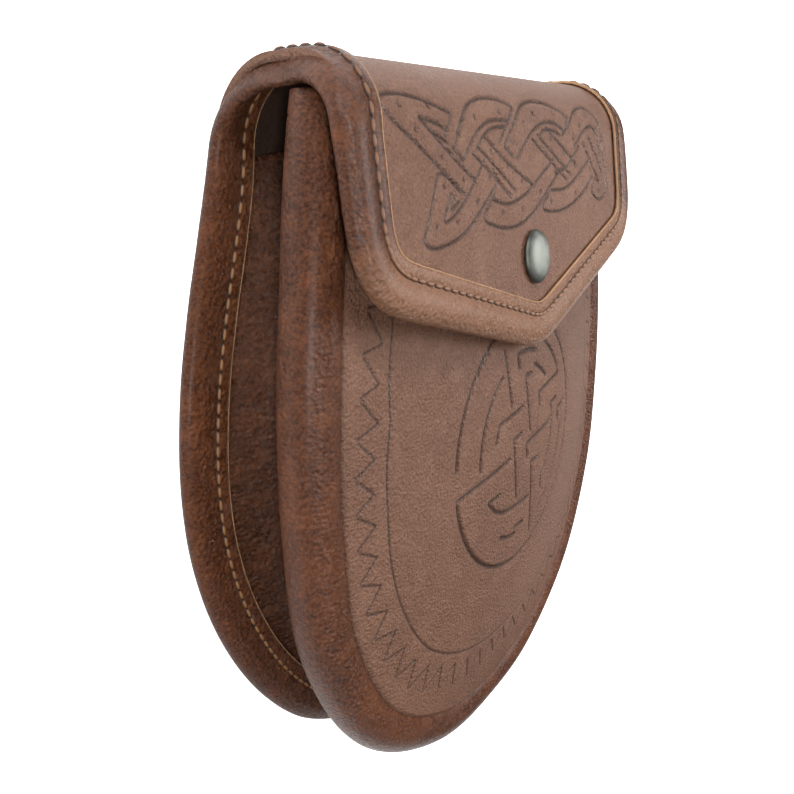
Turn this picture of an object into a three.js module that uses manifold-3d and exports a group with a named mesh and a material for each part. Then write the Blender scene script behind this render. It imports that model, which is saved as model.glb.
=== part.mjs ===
// A leather sporran pouch: a front panel and a back panel joined by a folded gusset, with the back
// panel carried over the top as a flap that snaps down on the front. It lies on its back.
// Millimetres. +X is right as seen from the front, +Y runs up to the fold, +Z out of the front.
// The underside of the edge binding is at Z = 0.
import * as THREE from "three";
import { mergeVertices } from "three/addons/utils/BufferGeometryUtils.js";
import Module from "manifold-3d";

const wasm = await Module();
wasm.setup();

// ---- Driving dimensions -------------------------------------------------------------------------
const GAP = 0.3; // clearance kept between neighbouring pieces

// Panel leather: the back panel, the fold and the flap are one hide of this thickness.
const HIDE = 2.2;

// Edge binding: a padded strip folded round the edge of that hide.
const BINDING_HALF = 2.9; // half its padded thickness
const BINDING_WIDTH = 12.2; // outer edge to the raw edge of the strip
const BINDING_SLOT_START = 3.3; // outer edge to the bottom of the slot that takes the hide
const STRIP = 1.0; // thickness of the folded strip
const GUSSET_LIP = 0.5; // skived edge of the gusset, caught under the strip

// Heights of the mid surface of the hide, seen from the side.
const BACK_Z = BINDING_HALF;
const FOLD_TOP = 104.0; // Y of the mid surface at the top of the fold
const BACK_BEND_RADIUS = 18.0;
const FRONT_BEND_RADIUS = 16.0;
const FLAP_Z_AT_SNAP = 44.8 + BACK_Z; // mid surface under the snap
const FLAP_LEAN = Math.atan(0.12); // the flap leans out toward its tip
const SNAP_Y = 55.2;

// Front panel: domed, with its crown over the middle of the round medallion, where X = Y = 0.
const FRONT_HIDE = 2.5;
const FRONT_INSET = 3.9 + GAP; // roll's centre line to the edge of the outer face
const FRONT_SKIVE = 0.2; // the under face stops this much short of a plain bevel
const FRONT_COLUMNS = 12;
const RIM_Z = 35.5 + BACK_Z;
const CROWN_Z = 44.8 + BACK_Z;
const SEAM_BOTTOM_Y = -84; // the crown line has come down to the rim here
const CROWN_FALL = (CROWN_Z - RIM_Z) / SEAM_BOTTOM_Y ** 2; // with the square of Y
const RIM_FALL = 2.5; // the rim sinks this much by the top edge
const MOUTH_Y = 96.5; // top edge of the front panel and of its roll

// Front roll: a padded tube round the front panel.
const ROLL_RADIUS = 7.0;
const ROLL_BELOW_RIM = 6.0; // its centre line under the rim
const ROLL_SIDES = 12;

// Gusset
const GUSSET_TOP_BACK = 84.0; // Y where the gusset ends at the back panel

// Snap fastener
const CAP_RADIUS = 7.5;
const CAP_RISE = 3.0;

// Belt loop on the back, lying flat
const LOOP_WIDTH = 46;
const LOOP_LENGTH = 78;
const LOOP_LEATHER = 1.4;
const LOOP_Y = 42;
const LOOP_CORNER = 5;

// Right half of the front roll's centre line, from the bottom up.
const ROLL_LINE = [
  { x: 0, y: -87.8 },
  { x: 30.3, y: -83.6 },
  { x: 61.0, y: -64.5 },
  { x: 79.2, y: -33.0 },
  { x: 83.6, y: 0 },
  { x: 82.6, y: 32.0 },
  { x: 77.8, y: 64.0 },
  { x: 73.0, y: MOUTH_Y },
];

// Right half of the hide's edge binding, outer edge, laid out flat: the back and the fold.
// "along" is Y on the back, and then the length walked over the fold and down the flap.
const BACK_LINE = [
  { x: 0, along: -96.3 },
  { x: 30.0, along: -92.6 },
  { x: 54.0, along: -80.0 },
  { x: 72.5, along: -60.0 },
  { x: 85.5, along: -37.0 },
  { x: 92.6, along: -14.0 },
  { x: 94.4, along: 8.0 },
  { x: 92.2, along: 30.0 },
  { x: 87.6, along: 50.0 },
  { x: 82.6, along: 67.0 },
  { x: 79.0, along: 82.0 },
  { x: 78.0, along: 98.0 },
  { x: 80.0, along: 120.0 },
];
const FLAP_HALF_WIDTH = 84.5;
const FLAP_CORNER_Y = 53.8; // where the straight side would meet the slanted edge
const FLAP_TIP_Y = 29.0; // where the two slanted edges would meet
const FLAP_CORNER_CUT = 17; // length of each edge replaced by the round corner
const FLAP_TIP_CUT = 9;

// Spacings of rows and rings, along the lines they follow.
const OUTLINE_STEP = 5.5;
const FRONT_STEP = 8;
const ROLL_STEP = 7.5;
const GUSSET_STEP = 11;
const RAW_EDGE_STEP = 3;
const OUTLINE_SAMPLES = 400; // places on a line before it is evened out
const SMOOTHING_ROUNDS = 5;

// ---- Solids from rings --------------------------------------------------------------------------
// Rings of equally many points, one after another, skinned into one closed solid. The ends are
// closed with caps unless the rings run round in a loop.
function loft(rings, looped = false) {
  const positions = rings.flat().flatMap((p) => [p.x, p.y, p.z]);
  const count = rings[0].length;
  const faces = [];
  const last = looped ? rings.length : rings.length - 1;
  for (let r = 0; r < last; r += 1) {
    const here = r * count;
    const next = ((r + 1) % rings.length) * count;
    for (let i = 0; i < count; i += 1) {
      const j = (i + 1) % count;
      faces.push(here + i, here + j, next + i);
      faces.push(here + j, next + j, next + i);
    }
  }
  if (!looped) {
    const cap = capTriangles(rings[0]);
    const far = (rings.length - 1) * count;
    for (const [a, b, c] of cap) {
      faces.push(a, c, b);
    }
    for (const [a, b, c] of capTriangles(rings[rings.length - 1])) {
      faces.push(far + a, far + b, far + c);
    }
  }
  const geometry = new THREE.BufferGeometry();
  geometry.setAttribute("position", new THREE.Float32BufferAttribute(positions, 3));
  geometry.setIndex(faces);
  return facingOut(geometry);
}

// Ear clipping of a flat ring, in the plane it lies in.
function capTriangles(ring) {
  const normal = new THREE.Vector3();
  ring.forEach((p, i) => {
    const q = ring[(i + 1) % ring.length];
    normal.x += (p.y - q.y) * (p.z + q.z);
    normal.y += (p.z - q.z) * (p.x + q.x);
    normal.z += (p.x - q.x) * (p.y + q.y);
  });
  normal.normalize();
  const right = new THREE.Vector3(1, 0, 0);
  if (Math.abs(normal.x) > 0.8) {
    right.set(0, 1, 0);
  }
  right.cross(normal).normalize();
  const up = normal.clone().cross(right);
  const flat = ring.map((p) => new THREE.Vector2(p.dot(right), p.dot(up)));
  return THREE.ShapeUtils.triangulateShape(flat, []);
}

function signedVolume(geometry) {
  const at = geometry.getAttribute("position");
  const index = geometry.getIndex();
  const [a, b, c] = [new THREE.Vector3(), new THREE.Vector3(), new THREE.Vector3()];
  let volume = 0;
  for (let i = 0; i < index.count; i += 3) {
    a.fromBufferAttribute(at, index.getX(i));
    b.fromBufferAttribute(at, index.getX(i + 1));
    c.fromBufferAttribute(at, index.getX(i + 2));
    volume += a.dot(b.cross(c)) / 6;
  }
  return volume;
}

function facingOut(geometry) {
  if (signedVolume(geometry) < 0) {
    const index = geometry.getIndex();
    for (let i = 0; i < index.count; i += 3) {
      const second = index.getX(i + 1);
      index.setX(i + 1, index.getX(i + 2));
      index.setX(i + 2, second);
    }
  }
  return geometry;
}

// ---- Joining and cutting ------------------------------------------------------------------------
function toSolid(geometry) {
  const bare = geometry.clone();
  bare.deleteAttribute("normal");
  bare.deleteAttribute("uv");
  const merged = mergeVertices(bare, 1e-4);
  return new wasm.Manifold(
    new wasm.Mesh({
      numProp: 3,
      vertProperties: new Float32Array(merged.getAttribute("position").array),
      triVerts: new Uint32Array(merged.getIndex().array),
    }),
  );
}

function fromSolid(solid) {
  const mesh = solid.getMesh();
  const geometry = new THREE.BufferGeometry();
  geometry.setAttribute("position", new THREE.Float32BufferAttribute(mesh.vertProperties, 3));
  geometry.setIndex([...mesh.triVerts]);
  return geometry;
}

function cut(geometry, ...tools) {
  const left = tools.reduce((solid, tool) => solid.subtract(toSolid(tool)), toSolid(geometry));
  return fromSolid(left);
}

// ---- Side view of the hide ----------------------------------------------------------------------
const SNAP_TILT = new THREE.Vector2(Math.sin(FLAP_LEAN), Math.cos(FLAP_LEAN)); // (y, z) out of flap

// The mid surface rises up the back, turns over two bends with a short flat run between them and
// comes down the flap.
function sideProfile() {
  const backBend = new THREE.Vector2(FOLD_TOP - BACK_BEND_RADIUS, BACK_Z + BACK_BEND_RADIUS);
  const frontBendY = FOLD_TOP - FRONT_BEND_RADIUS;
  const flapStartY = frontBendY + FRONT_BEND_RADIUS * SNAP_TILT.x;
  const flapStartZ = FLAP_Z_AT_SNAP - Math.tan(FLAP_LEAN) * (flapStartY - SNAP_Y);
  const frontBend = new THREE.Vector2(frontBendY, flapStartZ - FRONT_BEND_RADIUS * SNAP_TILT.y);
  const backArc = BACK_BEND_RADIUS * (Math.PI / 2);
  const flatRun = frontBend.y - backBend.y;
  const frontArc = FRONT_BEND_RADIUS * (Math.PI / 2 - FLAP_LEAN);
  const startBend = backBend.x;
  const startFlat = startBend + backArc;
  const startFront = startFlat + flatRun;
  const startFlap = startFront + frontArc;

  // Position and outward normal, both as (y, z), at a length along the hide.
  function at(along) {
    if (along <= startBend) {
      return { y: along, z: BACK_Z, ny: 0, nz: -1 };
    }
    if (along <= startFlat) {
      const turn = (along - startBend) / BACK_BEND_RADIUS;
      const [ny, nz] = [Math.sin(turn), -Math.cos(turn)];
      return { y: backBend.x + BACK_BEND_RADIUS * ny, z: backBend.y + BACK_BEND_RADIUS * nz, ny, nz };
    }
    if (along <= startFront) {
      return { y: FOLD_TOP, z: backBend.y + along - startFlat, ny: 1, nz: 0 };
    }
    if (along <= startFlap) {
      const turn = (along - startFront) / FRONT_BEND_RADIUS;
      const [ny, nz] = [Math.cos(turn), Math.sin(turn)];
      return { y: frontBend.x + FRONT_BEND_RADIUS * ny, z: frontBend.y + FRONT_BEND_RADIUS * nz, ny, nz };
    }
    const down = along - startFlap;
    const [ny, nz] = [SNAP_TILT.x, SNAP_TILT.y];
    return { y: flapStartY - down * nz, z: flapStartZ + down * ny, ny, nz };
  }

  // Length along the hide of a place on the flap, from its Y.
  const alongAtY = (y) => startFlap + (flapStartY - y) / SNAP_TILT.y;
  return { at, alongAtY, startFlap };
}
const PROFILE = sideProfile();

// A place on the hide: across, along, and out of its mid surface.
function onHide(x, along, out) {
  const p = PROFILE.at(along);
  return new THREE.Vector3(x, p.y + out * p.ny, p.z + out * p.nz);
}

// ---- Outline of the hide, laid flat -------------------------------------------------------------
function flatOutline() {
  const corner = new THREE.Vector2(FLAP_HALF_WIDTH, PROFILE.alongAtY(FLAP_CORNER_Y));
  const tip = new THREE.Vector2(0, PROFILE.alongAtY(FLAP_TIP_Y));
  const slant = tip.clone().sub(corner).normalize();
  const path = new THREE.Path();
  const [bottom, ...rest] = BACK_LINE.map((row) => new THREE.Vector2(row.x, row.along));
  const mirrored = new THREE.Vector2(-rest[0].x, rest[0].y);
  const back = new THREE.SplineCurve([mirrored, bottom, ...rest]);
  const own = back.getPoints(OUTLINE_SAMPLES / 2).filter((p) => p.x >= 0);
  path.moveTo(0, bottom.y);
  own.slice(1).forEach((p) => path.lineTo(p.x, p.y));
  path.lineTo(FLAP_HALF_WIDTH, PROFILE.startFlap);
  path.lineTo(corner.x, corner.y - FLAP_CORNER_CUT);
  const afterCorner = corner.clone().addScaledVector(slant, FLAP_CORNER_CUT);
  path.quadraticCurveTo(corner.x, corner.y, afterCorner.x, afterCorner.y);
  const beforeTip = tip.clone().addScaledVector(slant, -FLAP_TIP_CUT);
  path.lineTo(beforeTip.x, beforeTip.y);
  path.quadraticCurveTo(tip.x, tip.y, -beforeTip.x, beforeTip.y);
  const half = path.getSpacedPoints(OUTLINE_SAMPLES).filter((p) => p.x >= -1e-6);
  return smoothed(half, SMOOTHING_ROUNDS);
}

// Evens out the joins of the right half; its two ends stay on the centre line.
function smoothed(points, rounds) {
  let line = points;
  for (let round = 0; round < rounds; round += 1) {
    line = line.map((p, i) => {
      const before = i > 0 ? line[i - 1] : new THREE.Vector2(-line[1].x, line[1].y);
      const after = i < line.length - 1 ? line[i + 1] : new THREE.Vector2(-p.x, p.y);
      return p.clone().multiplyScalar(2).add(before).add(after).multiplyScalar(0.25);
    });
  }
  line[0].x = 0;
  line[line.length - 1].x = 0;
  return line;
}

// Evenly spaced places along the right half with their inward normals.
function stations(line, spacing) {
  const path = new THREE.Path(line);
  const count = Math.round(path.getLength() / spacing);
  const places = path.getSpacedPoints(count);
  return places.map((p, i) => {
    const before = i > 0 ? places[i - 1] : new THREE.Vector2(-places[1].x, places[1].y);
    const mirrored = new THREE.Vector2(-places[count - 1].x, places[count - 1].y);
    const beyond = places[count].x < 1 ? mirrored : p; // a line that ends on the centre line goes on
    const after = i < count ? places[i + 1] : beyond;
    const run = after.clone().sub(before).normalize();
    return { p, inward: new THREE.Vector2(-run.y, run.x) };
  });
}

function bothSides(right) {
  const left = right
    .slice(1, -1)
    .reverse()
    .map(({ p, inward }) => ({
      p: new THREE.Vector2(-p.x, p.y),
      inward: new THREE.Vector2(-inward.x, inward.y),
    }));
  return [...right, ...left];
}

const OUTLINE = flatOutline();

// ---- Back panel, fold and flap ------------------------------------------------------------------
function backFlapPanel() {
  const inset = BINDING_SLOT_START + GAP;
  const rows = stations(OUTLINE, OUTLINE_STEP).slice(1, -1);
  const edges = rows.map(({ p, inward }) => p.clone().addScaledVector(inward, inset));
  const kept = edges.filter((p, i) => p.x > 2 && (i === 0 || p.y > edges[i - 1].y + 0.05));
  const half = HIDE / 2;
  const rings = kept.map((p) => [
    onHide(-p.x, p.y, half),
    onHide(p.x, p.y, half),
    onHide(p.x, p.y, -half),
    onHide(-p.x, p.y, -half),
  ]);
  return cut(loft(rings), snapBore(SNAP_POST + GAP));
}

// ---- Edge binding -------------------------------------------------------------------------------
// Section of the folded strip: "inward" from its outer edge, "out" of the mid surface of the hide.
function bindingSection() {
  const outerSlot = HIDE / 2 + GAP;
  const innerSlot = -(outerSlot + GUSSET_LIP + GAP);
  const outerFace = outerSlot + STRIP;
  const innerFace = innerSlot - STRIP;
  return [
    { inward: BINDING_WIDTH, out: outerSlot },
    { inward: BINDING_WIDTH, out: outerFace },
    { inward: 7.6, out: outerFace },
    { inward: 4.2, out: BINDING_HALF },
    { inward: 1.9, out: BINDING_HALF * 0.8 },
    { inward: 0.5, out: BINDING_HALF * 0.4 },
    { inward: 0, out: -0.2 },
    { inward: 0.5, out: -BINDING_HALF * 0.5 },
    { inward: 1.9, out: -BINDING_HALF * 0.92 },
    { inward: 4.2, out: innerFace },
    { inward: BINDING_WIDTH, out: innerFace },
    { inward: BINDING_WIDTH, out: innerSlot },
    { inward: BINDING_SLOT_START, out: innerSlot },
    { inward: BINDING_SLOT_START, out: outerSlot },
  ];
}

function edgeBinding() {
  const section = bindingSection();
  const rings = bothSides(stations(OUTLINE, OUTLINE_STEP)).map(({ p, inward }) =>
    section.map((s) => {
      const at = p.clone().addScaledVector(inward, s.inward);
      return onHide(at.x, at.y, s.out);
    }),
  );
  return loft(rings, true);
}

// ---- Front panel --------------------------------------------------------------------------------
function rollSpline() {
  const right = ROLL_LINE.map((row) => new THREE.Vector2(row.x, row.y));
  const left = right.slice(1).map((p) => new THREE.Vector2(-p.x, p.y));
  return new THREE.SplineCurve([...left.reverse(), ...right]);
}
const ROLL_SPLINE = rollSpline();

function rimZ(y) {
  return RIM_Z - RIM_FALL * (Math.max(y, 0) / MOUTH_Y) ** 2;
}

// Height of the front panel's outer face; "reach" is the half width of the panel at that Y.
function frontZ(x, y, reach) {
  const crown = CROWN_Z - CROWN_FALL * y * y;
  return rimZ(y) + (crown - rimZ(y)) * (1 - (x / reach) ** 2);
}

// Half width of a line of places, bottom to top, at a given Y.
function reachAt(places, y) {
  const above = places.findIndex((p) => p.y >= y);
  if (above < 1) {
    return above === 0 ? places[0].x : places[places.length - 1].x;
  }
  const [low, high] = [places[above - 1], places[above]];
  return THREE.MathUtils.mapLinear(y, low.y, high.y, low.x, high.x);
}

// The rim is skived: its outer face reaches further over the roll than its under face.
function frontPanel() {
  const places = ROLL_SPLINE.getPoints(OUTLINE_SAMPLES).filter((p) => p.x >= 0);
  const underInset = FRONT_INSET + FRONT_HIDE + FRONT_SKIVE;
  const rows = stations(places, FRONT_STEP)
    .map(({ p, inward }) => ({
      outer: p.clone().addScaledVector(inward, FRONT_INSET),
      inner: p.clone().addScaledVector(inward, underInset),
    }))
    .filter(({ inner }, i) => i > 0 && inner.x > 3);
  const top = rows[rows.length - 1];
  top.outer.y = MOUTH_Y;
  top.inner.y = MOUTH_Y;
  const edge = rows.map(({ outer }) => outer);
  const across = Array.from({ length: FRONT_COLUMNS + 1 }, (_, i) => (2 * i) / FRONT_COLUMNS - 1);
  const rings = rows.map(({ outer, inner }) => {
    const face = across.map((u) => {
      const x = u * outer.x;
      return new THREE.Vector3(x, outer.y, frontZ(x, outer.y, outer.x));
    });
    const reach = reachAt(edge, inner.y);
    const under = across.toReversed().map((u) => {
      const x = u * inner.x;
      return new THREE.Vector3(x, inner.y, frontZ(x, inner.y, reach) - FRONT_HIDE);
    });
    return [...face, ...under];
  });
  return cut(loft(rings), snapBore(STUD_POST + GAP));
}

// ---- Front roll ---------------------------------------------------------------------------------
// Stations right round the roll: place, inward normal in plan, and height of its centre line.
function rollStations(spacing) {
  const fine = new THREE.Path(ROLL_SPLINE.getPoints(OUTLINE_SAMPLES));
  const count = Math.round(fine.getLength() / spacing);
  return fine.getSpacedPoints(count).map((p, i, all) => {
    const before = all[Math.max(i - 1, 0)];
    const after = all[Math.min(i + 1, count)];
    const run = after.clone().sub(before).normalize();
    return { p, inward: new THREE.Vector2(-run.y, run.x), z: rimZ(p.y) - ROLL_BELOW_RIM };
  });
}

function frontRoll() {
  const rings = rollStations(ROLL_STEP).map(({ p, inward, z }) =>
    Array.from({ length: ROLL_SIDES }, (_, i) => {
      const turn = (2 * Math.PI * i) / ROLL_SIDES;
      const reach = ROLL_RADIUS * Math.cos(turn);
      const at = p.clone().addScaledVector(inward, reach);
      return new THREE.Vector3(at.x, at.y, z + ROLL_RADIUS * Math.sin(turn));
    }),
  );
  return loft(rings);
}

// ---- Gusset -------------------------------------------------------------------------------------
// Mid line of the folded wall, front to back. "share" blends from the roll's centre line (0) to the
// raw edge of the binding (1); "inward" is measured from that blend; "depth" runs from the roll's
// centre height (0) to the inner face of the back panel (1).
const GUSSET_FOLD = [
  { share: 0.0, inward: 8.4, lift: 2.9, depth: 0.0, half: 0.6 },
  { share: 0.0, inward: 8.4, lift: -2.0, depth: 0.0, half: 0.75 },
  { share: 0.15, inward: 10.0, lift: 0, depth: 0.2, half: 0.75 },
  { share: 0.35, inward: 14.6, lift: 0, depth: 0.38, half: 0.75 },
  { share: 0.5, inward: 16.5, lift: 0, depth: 0.5, half: 0.75 },
  { share: 0.6, inward: 15.4, lift: 0, depth: 0.6, half: 0.75 },
  { share: 0.8, inward: 10.4, lift: 0, depth: 0.76, half: 0.75 },
  { share: 0.95, inward: 4.4, lift: 0, depth: 0.91, half: 0.7 },
  { share: 1.0, inward: 2.0, lift: GAP + GUSSET_LIP / 2 + 0.35, depth: 1.0, half: 0.45 },
  { share: 1.0, inward: 0.7, lift: GAP + GUSSET_LIP / 2, depth: 1.0, half: GUSSET_LIP / 2 },
  { share: 1.0, inward: -5.6, lift: GAP + GUSSET_LIP / 2, depth: 1.0, half: GUSSET_LIP / 2 },
];

// Both faces of a wall whose mid line is given in (inward, up) with a half thickness at each place.
function wallSection(line) {
  const sideOf = (i) => {
    const before = line[Math.max(i - 1, 0)];
    const after = line[Math.min(i + 1, line.length - 1)];
    const a = line[i].at.clone().sub(before.at).normalize();
    const b = after.at.clone().sub(line[i].at).normalize();
    const run = a.add(b).normalize();
    return new THREE.Vector2(-run.y, run.x);
  };
  const faces = line.map((row, i) => ({
    one: row.at.clone().addScaledVector(sideOf(i), row.half),
    other: row.at.clone().addScaledVector(sideOf(i), -row.half),
  }));
  return [...faces.map((f) => f.one), ...faces.map((f) => f.other).reverse()];
}

// Right half of the binding's raw edge on the back, in plan.
function rawEdge() {
  const places = stations(OUTLINE, RAW_EDGE_STEP)
    .map(({ p, inward }) => p.clone().addScaledVector(inward, BINDING_WIDTH))
    .filter((p) => p.y <= GUSSET_TOP_BACK);
  const left = places.slice(1).map((p) => new THREE.Vector2(-p.x, p.y));
  return new THREE.Path([...left.reverse(), ...places]);
}

function gusset() {
  const innerFace = BACK_Z + HIDE / 2;
  const edge = rawEdge();
  const front = rollStations(GUSSET_STEP);
  const rings = front.map(({ p, inward, z }, i) => {
    const back = edge.getPointAt(i / (front.length - 1));
    const rows = GUSSET_FOLD.map((row) => ({
      at: new THREE.Vector2(row.inward, z + (innerFace - z) * row.depth + row.lift),
      half: row.half,
      share: row.share,
    }));
    const shares = rows.map((row) => row.share);
    const sharesRound = [...shares, ...shares.toReversed()];
    return wallSection(rows).map((s, k) => {
      const base = p.clone().lerp(back, sharesRound[k]);
      base.addScaledVector(inward, s.x);
      return new THREE.Vector3(base.x, base.y, s.y);
    });
  });
  return loft(rings);
}

// ---- Snap fastener ------------------------------------------------------------------------------
// Everything on the snap's axis is turned about Z and then stood on the flap.
const SNAP_POST = 4.2;
const SNAP_FLANGE = 5.4;
const SOCKET = 2.6;
const STUD_HEAD = 2.2;
const STUD_POST = 1.6;
const STUD_FLANGE = 4.5;
const FLANGE_THICKNESS = 0.7;
const SOCKET_DEPTH = 3.0;
const HEAD_REACH = 2.6; // top of the stud's head over the foot of the cap's flange
const STUD_CLEARANCE = GAP + 0.4; // above and under the front panel, which is curved there
const BORE_LENGTH = 30;
const FLAP_UNDERSIDE = -HIDE / 2; // heights on this axis are from the mid surface of the flap
// Flap underside down to the front panel's outer face at the snap.
const PANEL_BELOW = FLAP_Z_AT_SNAP - HIDE / 2 - frontZ(0, SNAP_Y, ROLL_LINE[5].x);

function onSnapAxis(geometry) {
  const upright = geometry.rotateX(Math.PI / 2);
  return upright.rotateX(-FLAP_LEAN).translate(0, SNAP_Y, FLAP_Z_AT_SNAP);
}

function turned(profile, segments) {
  const points = profile.map(([radius, height]) => new THREE.Vector2(radius, height));
  return facingOut(mergeVertices(bare(new THREE.LatheGeometry(points, segments)), 1e-4));
}

function bare(geometry) {
  geometry.deleteAttribute("normal");
  geometry.deleteAttribute("uv");
  return geometry;
}

function snapBore(radius) {
  return onSnapAxis(new THREE.CylinderGeometry(radius, radius, BORE_LENGTH, 24));
}

function snapCap() {
  const seat = HIDE / 2 + GAP;
  const top = HIDE / 2 + CAP_RISE;
  const flangeTop = FLAP_UNDERSIDE - GAP;
  const flangeFoot = flangeTop - FLANGE_THICKNESS;
  const profile = [
    [0, top],
    [3.0, top - 0.12],
    [5.6, top - 0.6],
    [7.0, top - 1.2],
    [CAP_RADIUS, top - 2.0],
    [CAP_RADIUS - 0.2, seat],
    [SNAP_POST, seat],
    [SNAP_POST, flangeTop],
    [SNAP_FLANGE, flangeTop],
    [SNAP_FLANGE, flangeFoot],
    [SOCKET, flangeFoot],
    [SOCKET, flangeFoot + SOCKET_DEPTH],
    [0, flangeFoot + SOCKET_DEPTH],
  ];
  return onSnapAxis(turned(profile, 32));
}

function snapStud() {
  const panelFace = FLAP_UNDERSIDE - PANEL_BELOW;
  const flangeTop = panelFace - FRONT_HIDE - STUD_CLEARANCE;
  const headFoot = panelFace + STUD_CLEARANCE;
  const headTop = FLAP_UNDERSIDE - GAP - FLANGE_THICKNESS + HEAD_REACH;
  const profile = [
    [0, headTop],
    [STUD_HEAD - 0.6, headTop],
    [STUD_HEAD, headTop - 0.6],
    [STUD_HEAD, headFoot],
    [STUD_POST, headFoot],
    [STUD_POST, flangeTop],
    [STUD_FLANGE, flangeTop],
    [STUD_FLANGE, flangeTop - FLANGE_THICKNESS],
    [0, flangeTop - FLANGE_THICKNESS],
  ];
  return onSnapAxis(turned(profile, 24));
}

// ---- Belt loop ----------------------------------------------------------------------------------
function beltLoop() {
  const [w, l, r] = [LOOP_WIDTH / 2, LOOP_LENGTH / 2, LOOP_CORNER];
  const shape = new THREE.Shape();
  shape.moveTo(-w + r, -l);
  shape.lineTo(w - r, -l);
  shape.absarc(w - r, -l + r, r, -Math.PI / 2, 0);
  shape.lineTo(w, l - r);
  shape.absarc(w - r, l - r, r, 0, Math.PI / 2);
  shape.lineTo(-w + r, l);
  shape.absarc(-w + r, l - r, r, Math.PI / 2, Math.PI);
  shape.lineTo(-w, -l + r);
  shape.absarc(-w + r, -l + r, r, Math.PI, 1.5 * Math.PI);
  const settings = { depth: LOOP_LEATHER, bevelEnabled: false, curveSegments: 5 };
  const strap = new THREE.ExtrudeGeometry(shape, settings);
  const top = BACK_Z - HIDE / 2 - GAP;
  return strap.translate(0, LOOP_Y, top - LOOP_LEATHER);
}

// ---- The pouch ----------------------------------------------------------------------------------
const leather = (color, roughness) =>
  new THREE.MeshStandardMaterial({ color, roughness, metalness: 0 });
const panelLeather = leather(0x7c6257, 0.6);
const rollLeather = leather(0x5f3620, 0.4);
const gussetLeather = leather(0x5a3522, 0.42);
const loopLeather = leather(0x5f4638, 0.6);
const gunmetal = new THREE.MeshStandardMaterial({ color: 0x6f706a, roughness: 0.35, metalness: 1 });

const PIECES = [
  { name: "back_flap_panel", make: backFlapPanel, material: panelLeather },
  { name: "edge_binding", make: edgeBinding, material: rollLeather },
  { name: "front_panel", make: frontPanel, material: panelLeather },
  { name: "front_roll", make: frontRoll, material: rollLeather },
  { name: "gusset", make: gusset, material: gussetLeather },
  { name: "snap_cap", make: snapCap, material: gunmetal },
  { name: "snap_stud", make: snapStud, material: gunmetal },
  { name: "belt_loop", make: beltLoop, material: loopLeather },
];

// The origin is under the middle of the pouch, so the group is shifted along Y.
const TOP_Y = FOLD_TOP + BINDING_HALF;
const BOTTOM_Y = BACK_LINE[0].along;
const pouch = new THREE.Group();
pouch.position.y = -(TOP_Y + BOTTOM_Y) / 2;
for (const { name, make, material } of PIECES) {
  const mesh = new THREE.Mesh(make(), material);
  mesh.name = name;
  pouch.add(mesh);
}

export default pouch;
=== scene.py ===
# %% [markdown]
# # A leather sporran pouch
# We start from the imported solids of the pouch, which give every place and size. Each leather piece
# is then modelled again over its solid: cut as a flat pattern, tooled while it is flat, and bent
# into its place. All patterns are in millimetres, and the finished meshes are in metres.

# %% Load the frame
import bmesh
import bpy
import math
import numpy as np
from mathutils import Matrix, Vector


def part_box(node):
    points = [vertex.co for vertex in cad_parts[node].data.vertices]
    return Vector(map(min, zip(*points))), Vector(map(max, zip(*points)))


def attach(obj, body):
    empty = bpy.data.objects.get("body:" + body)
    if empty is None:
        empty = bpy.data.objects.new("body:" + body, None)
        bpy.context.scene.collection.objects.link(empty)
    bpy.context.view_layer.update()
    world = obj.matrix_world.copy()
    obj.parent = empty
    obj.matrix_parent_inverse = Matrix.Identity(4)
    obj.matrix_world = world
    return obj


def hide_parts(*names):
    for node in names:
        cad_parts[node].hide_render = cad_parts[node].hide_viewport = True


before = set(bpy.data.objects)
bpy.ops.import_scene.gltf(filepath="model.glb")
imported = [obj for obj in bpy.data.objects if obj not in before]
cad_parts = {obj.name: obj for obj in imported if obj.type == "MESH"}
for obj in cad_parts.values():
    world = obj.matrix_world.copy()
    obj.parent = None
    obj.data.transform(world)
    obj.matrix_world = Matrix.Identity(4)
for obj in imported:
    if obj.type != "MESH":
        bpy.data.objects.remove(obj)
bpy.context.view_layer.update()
MM = 0.001
GAP = 0.3
print("nodes:", sorted(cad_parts))

# %% [markdown]
# ## The camera
# It looks from the pouch's left and a little above its front. The pouch lies on its back, so the
# camera is rolled until the fold is at the top of the picture.

# %% Camera
CAMERA_PLACE = Vector((-221.7, 80.7, 144.4)) * MM
CAMERA_AIM = Vector((-18.6, 10.95, 16.46)) * MM
CAMERA_UP = Vector((0.2417, 0.9602, -0.1398))
LENS = 38.3

scene = bpy.context.scene
camera_data = bpy.data.cameras.new("camera")
camera = bpy.data.objects.new("camera", camera_data)
scene.collection.objects.link(camera)
scene.camera = camera
back = (CAMERA_PLACE - CAMERA_AIM).normalized()
right = CAMERA_UP.cross(back).normalized()
up = back.cross(right)
turn = Matrix((right, up, back)).transposed().to_4x4()
camera.matrix_world = Matrix.Translation(CAMERA_PLACE) @ turn
camera_data.lens = LENS
camera_data.sensor_width = 36
camera_data.shift_x = -0.0077
camera_data.shift_y = -0.0090
camera_data.clip_start = 0.01
print("camera height above the floor:", round(CAMERA_PLACE.z, 3), "m")

# %% [markdown]
# ## Helpers
# A pattern is a grid made by an operator and then moved, vertex by vertex, by a function that
# knows the shape. Everything is counted in millimetres until the mesh is finished.

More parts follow.
